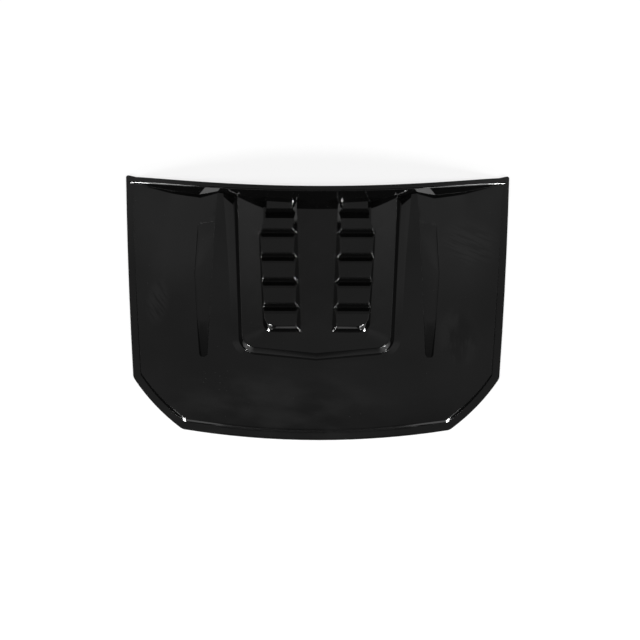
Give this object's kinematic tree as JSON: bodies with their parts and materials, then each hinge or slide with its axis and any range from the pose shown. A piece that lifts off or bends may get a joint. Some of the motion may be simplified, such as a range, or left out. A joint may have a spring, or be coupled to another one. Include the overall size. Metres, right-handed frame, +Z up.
{
  "type": "bonnet scoop",
  "caption": "Full-width moulded bonnet scoop with a louvred, dished centre dome, a raised rear lip, shoulder gills and a thin flange that bonds to the bonnet.",
  "frame": {"origin": "middle of the cover in plan, on the plane of the flange's underside", "axes": "+X across the bonnet to the right as seen from the front, +Y back to the windscreen, +Z up"},
  "size_m": [1.4778, 1.0744, 0.0782],
  "materials": {
    "gloss_black": "moulded-in high gloss black"
  },
  "bodies": {
    "root": {"bonnet_scoop": "gloss_black"}
  },
  "joints": []
}
